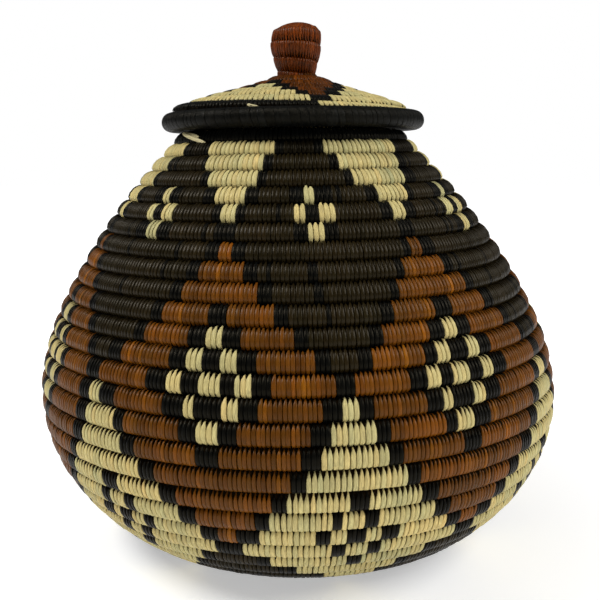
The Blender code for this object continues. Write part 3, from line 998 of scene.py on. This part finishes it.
# The CAD tube has six sides, so its corners lie further out than its faces.
COLLAR_CORNER = 4 * MM / math.cos(math.pi / 6)
collar_line = climb(
    ((0, -90), (COLLAR_ROUNDS, -90)), ((0, COLLAR_PITCH), (COLLAR_ROUNDS, COLLAR_PITCH)),
    collar_high.x - COLLAR_CORNER, collar_high.z + COLLAR_RISE,
)
collar = Wall(collar_line, side=-1, start_turn=0)
dry_grass = leaf_material(
    "dry grass", dye=(0.36, 0.27, 0.11), across=1.6, along=0.08, contrast=0.6, shine=0.6,
    ridge=0.25,
)
# Up to the third of these turns the ties are black: painted shade under the rim.
COLLAR_START, COLLAR_END, COLLAR_SHADE_BLACK_END = 0.13, 3.87, 1.9
turns, letters, widths = set_out(
    collar, COLLAR_START, COLLAR_END, lambda turn: "K" if turn < COLLAR_SHADE_BLACK_END else "C",
)
# Every other plain strip is left out.
kept = (turns < COLLAR_SHADE_BLACK_END) | (np.arange(len(turns)) % 2 == 0)
ties = sew("collar", collar, turns[kept], tint(letters)[kept], widths[kept])
ties = add_piece("collar_ties", ties, sewn_leaf, "lid")
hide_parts("collar_coil")
bundle(
    "collar_bundle", collar, COLLAR_START, COLLAR_END, dry_grass, "lid", sink=0.3 * MM,
)

# %% [markdown]
# ## The loose strip
#
# On the neck, one strip's end has come loose. It is a small ribbon, bent from a flat grid,
# and a Solidify modifier gives it its thickness.

# %% Loose strip
PALE_CREAM = (0.62, 0.54, 0.3)
RIBBON_FACES_ALONG, RIBBON_FACES_ACROSS = 14, 3
RIBBON_THICKNESS = 0.35 * MM
# A ribbon reaches its width after a ninth of its length, and starts with a blunt end.
TAPER_ENDS, BLUNT_SHARE = 9, 0.05
# The fibres of a ribbon run over this many radians of the cord.
RIBBON_WRAP = 3


def ribbon(
    name, wall, row_turn, angles, above_angles, off, width, body_name="basket", shape=lean,
):
    """A strip's end over a round, between two angles round the wall and two over the cord."""
    model = bmesh.new()
    bmesh.ops.create_grid(
        model, x_segments=RIBBON_FACES_ALONG, y_segments=RIBBON_FACES_ACROSS, size=0.5,
    )
    mesh = mesh_from(model, name)
    straight = coordinates(mesh)
    share, across = straight[:, 0] + 0.5, straight[:, 1] * 2
    turn = row_turn + np.interp(share, (0, 1), angles) / 360
    above = np.radians(np.interp(share, (0, 1), above_angles))
    taper = np.sqrt(np.clip(np.minimum(share, 1 - share) * TAPER_ENDS, BLUNT_SHARE, 1))
    middle, along, outwards, half = wall.section(turn)
    reach = half[:, 0] + off
    above = above + across * width / 2 * taper / reach
    radius = middle[:, 0] + reach * np.cos(above)
    angle = TURN * (turn + wall.start_turn)
    height = middle[:, 1] + reach * np.sin(above)
    place = round_axis(radius, angle, height)
    set_coordinates(mesh, shape(place))
    strand = np.zeros(len(share), int)
    strip_map(mesh, across * width, share * RIBBON_WRAP, CORD_RADIUS, strand)
    set_dye(mesh, np.tile(PALE_CREAM, (len(share), 1)))
    mesh.shade_smooth()
    piece = add_piece(name, mesh, sewn_leaf, body_name)
    thick = piece.modifiers.new("thickness", "SOLIDIFY")
    thick.thickness = RIBBON_THICKNESS
    thick.offset = 1
    print(f"{name}: reaches over {np.ptp(place[:, 2]) / MM:.1f} mm of height")
    return piece


loose = ribbon("loose_strip_end", body, 34, (-61, -41), (42, -22), 1.1 * MM, 1.8 * MM)
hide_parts("loose_strip")
ribbon("loose_strip_fold", body, 34, (-62, -46), (50, 14), 0.7 * MM, 1.6 * MM)
# A flake of the same leaf sticks to the lid's last round.
ribbon("lid_flake", lid, 10.9375, (-19.5, -14.5), (10, -6), 0.6 * MM, 1.2 * MM, "lid", lean_lid)

# %% [markdown]
# ## Studio
#
# The photograph was taken in soft light against white. A lamp stands high at the left and
# a weaker one at the right. A low one at the front, the floor and the world fill in. To the
# camera the floor glows more further out, so it fades to white and keeps the shadow.

# %% Lamps
LAMPS_AIM = Vector((0, 0, 0.12))


def lamp(name, place, size, watts):
    """A round area lamp that is aimed at the basket."""
    data = bpy.data.lights.new(name, "AREA")
    data.shape = "DISK"
    data.size = size
    data.energy = watts
    thing = add_object(name, data)
    thing.location = place
    thing.rotation_euler = (LAMPS_AIM - Vector(place)).to_track_quat("-Z", "Y").to_euler()
    return thing


lamps = [
    lamp("key lamp", (-1.0, -0.2, 1.2), 0.6, 18),
    lamp("right lamp", (1.1, -0.3, 1.0), 0.9, 15),
    lamp("front lamp", (0.3, -1.2, 0.02), 0.8, 6.5),
]
# The front one only fills: it leaves no shine of its own on the leaf.
lamps[-1].visible_glossy = False
print("watts:", [thing.data.energy for thing in lamps])

# %% [markdown]
# ## The room
#
# The world is white where the camera looks past everything, and a dim room for all else. In
# reflections it is darker still, so that black leaf stays black.

# %% World
ROOM_LIGHT, ROOM_SHINE = 0.17, 0.1
world = bpy.data.worlds.new("studio")
bpy.context.scene.world = world
world.use_nodes = True
tree = world.node_tree
background = tree.nodes["Background"]
background.inputs["Color"].default_value = (1, 1, 1, 1)
rays = add_node(tree, "LightPath")
seen = add_node(tree, "Math", operation="MAXIMUM")
link(tree, rays.outputs["Is Camera Ray"], seen.inputs[0])
link(tree, rays.outputs["Is Transmission Ray"], seen.inputs[1])
level = add_node(tree, "MapRange", {"To Max": 1})
room = add_node(tree, "Mix", {"A": ROOM_LIGHT, "B": ROOM_SHINE})
link(tree, rays.outputs["Is Glossy Ray"], room.inputs["Factor"])
link(tree, room.outputs["Result"], level.inputs["To Min"])
link(tree, seen.outputs[0], level.inputs["Value"])
link(tree, level.outputs[0], background.inputs["Strength"])
print("world:", [node.name for node in tree.nodes])

# %% [markdown]
# ## The floor
#
# The floor is a white disc that glows. The basket sees an even glow, and the camera sees one
# that gets whiter from the basket outwards. From below, the floor isn't there, so that the
# base can be looked at.

# %% Floor
FLOOR_RADIUS, FLOOR_SIDES, FLOOR_GLOW = 6, 64, 0.35
# The fade: where it starts and ends, in metres from the middle, and its glow at the start.
FADE_START, FADE_END, FADE_GLOW = 0.12, 0.6, 0.42
floor_model = bmesh.new()
bmesh.ops.create_circle(floor_model, cap_ends=True, radius=FLOOR_RADIUS, segments=FLOOR_SIDES)
floor_mesh = mesh_from(floor_model, "floor")
floor_piece = add_object("floor", floor_mesh)
paint = bpy.data.materials.new("white floor")
paint.use_nodes = True
tree = paint.node_tree
surface = tree.nodes["Principled BSDF"]
white = (1, 1, 1, 1)
set_values(surface, {"Base Color": (0.8, 0.8, 0.8, 1), "Roughness": 0.9, "Emission Color": white})
rays = add_node(tree, "LightPath")
glow = add_node(tree, "Mix", {"A": FLOOR_GLOW})
link(tree, rays.outputs["Is Camera Ray"], glow.inputs["Factor"])
place = add_node(tree, "TexCoord")
distance = add_node(tree, "VectorMath", operation="LENGTH")
link(tree, place.outputs["Object"], distance.inputs[0])
fade = {"From Min": FADE_START, "From Max": FADE_END, "To Min": FADE_GLOW}
whiter = add_node(tree, "MapRange", fade)
link(tree, distance.outputs["Value"], whiter.inputs["Value"])
link(tree, whiter.outputs[0], glow.inputs["B"])
link(tree, glow.outputs["Result"], surface.inputs["Emission Strength"])
below = add_node(tree, "NewGeometry")
clear, either = add_node(tree, "BsdfTransparent"), add_node(tree, "MixShader")
link(tree, below.outputs["Backfacing"], either.inputs[0])
link(tree, surface.outputs[0], either.inputs[1])
link(tree, clear.outputs[0], either.inputs[2])
link(tree, either.outputs[0], tree.nodes["Material Output"].inputs["Surface"])
floor_mesh.materials.append(paint)
print(f"floor: {floor_piece.dimensions.x:.1f} m across")

# %% [markdown]
# ## The camera
#
# It stands where the fit to the photograph puts it: near, a little above the belly, and
# looking down 9 degrees. The focal length was found in pixels of the photograph.

# %% Camera
CAMERA_PLACE = (0, -0.4295, 0.18315)
LOOK_DOWN = 0.162
SENSOR, FOCAL_PIXELS, PHOTO_PIXELS = 36, 854.4, 600
camera_data = bpy.data.cameras.new("camera")
camera = add_object("camera", camera_data)
bpy.context.scene.camera = camera
camera.location = CAMERA_PLACE
camera.rotation_euler = (math.pi / 2 - LOOK_DOWN, 0, 0)
camera_data.sensor_width = SENSOR
camera_data.lens = SENSOR * FOCAL_PIXELS / PHOTO_PIXELS
camera_data.shift_x = 0.0049
camera_data.clip_start = 0.01
bpy.context.scene.view_settings.view_transform = "Standard"
print(f"lens: {camera_data.lens:.2f} mm")
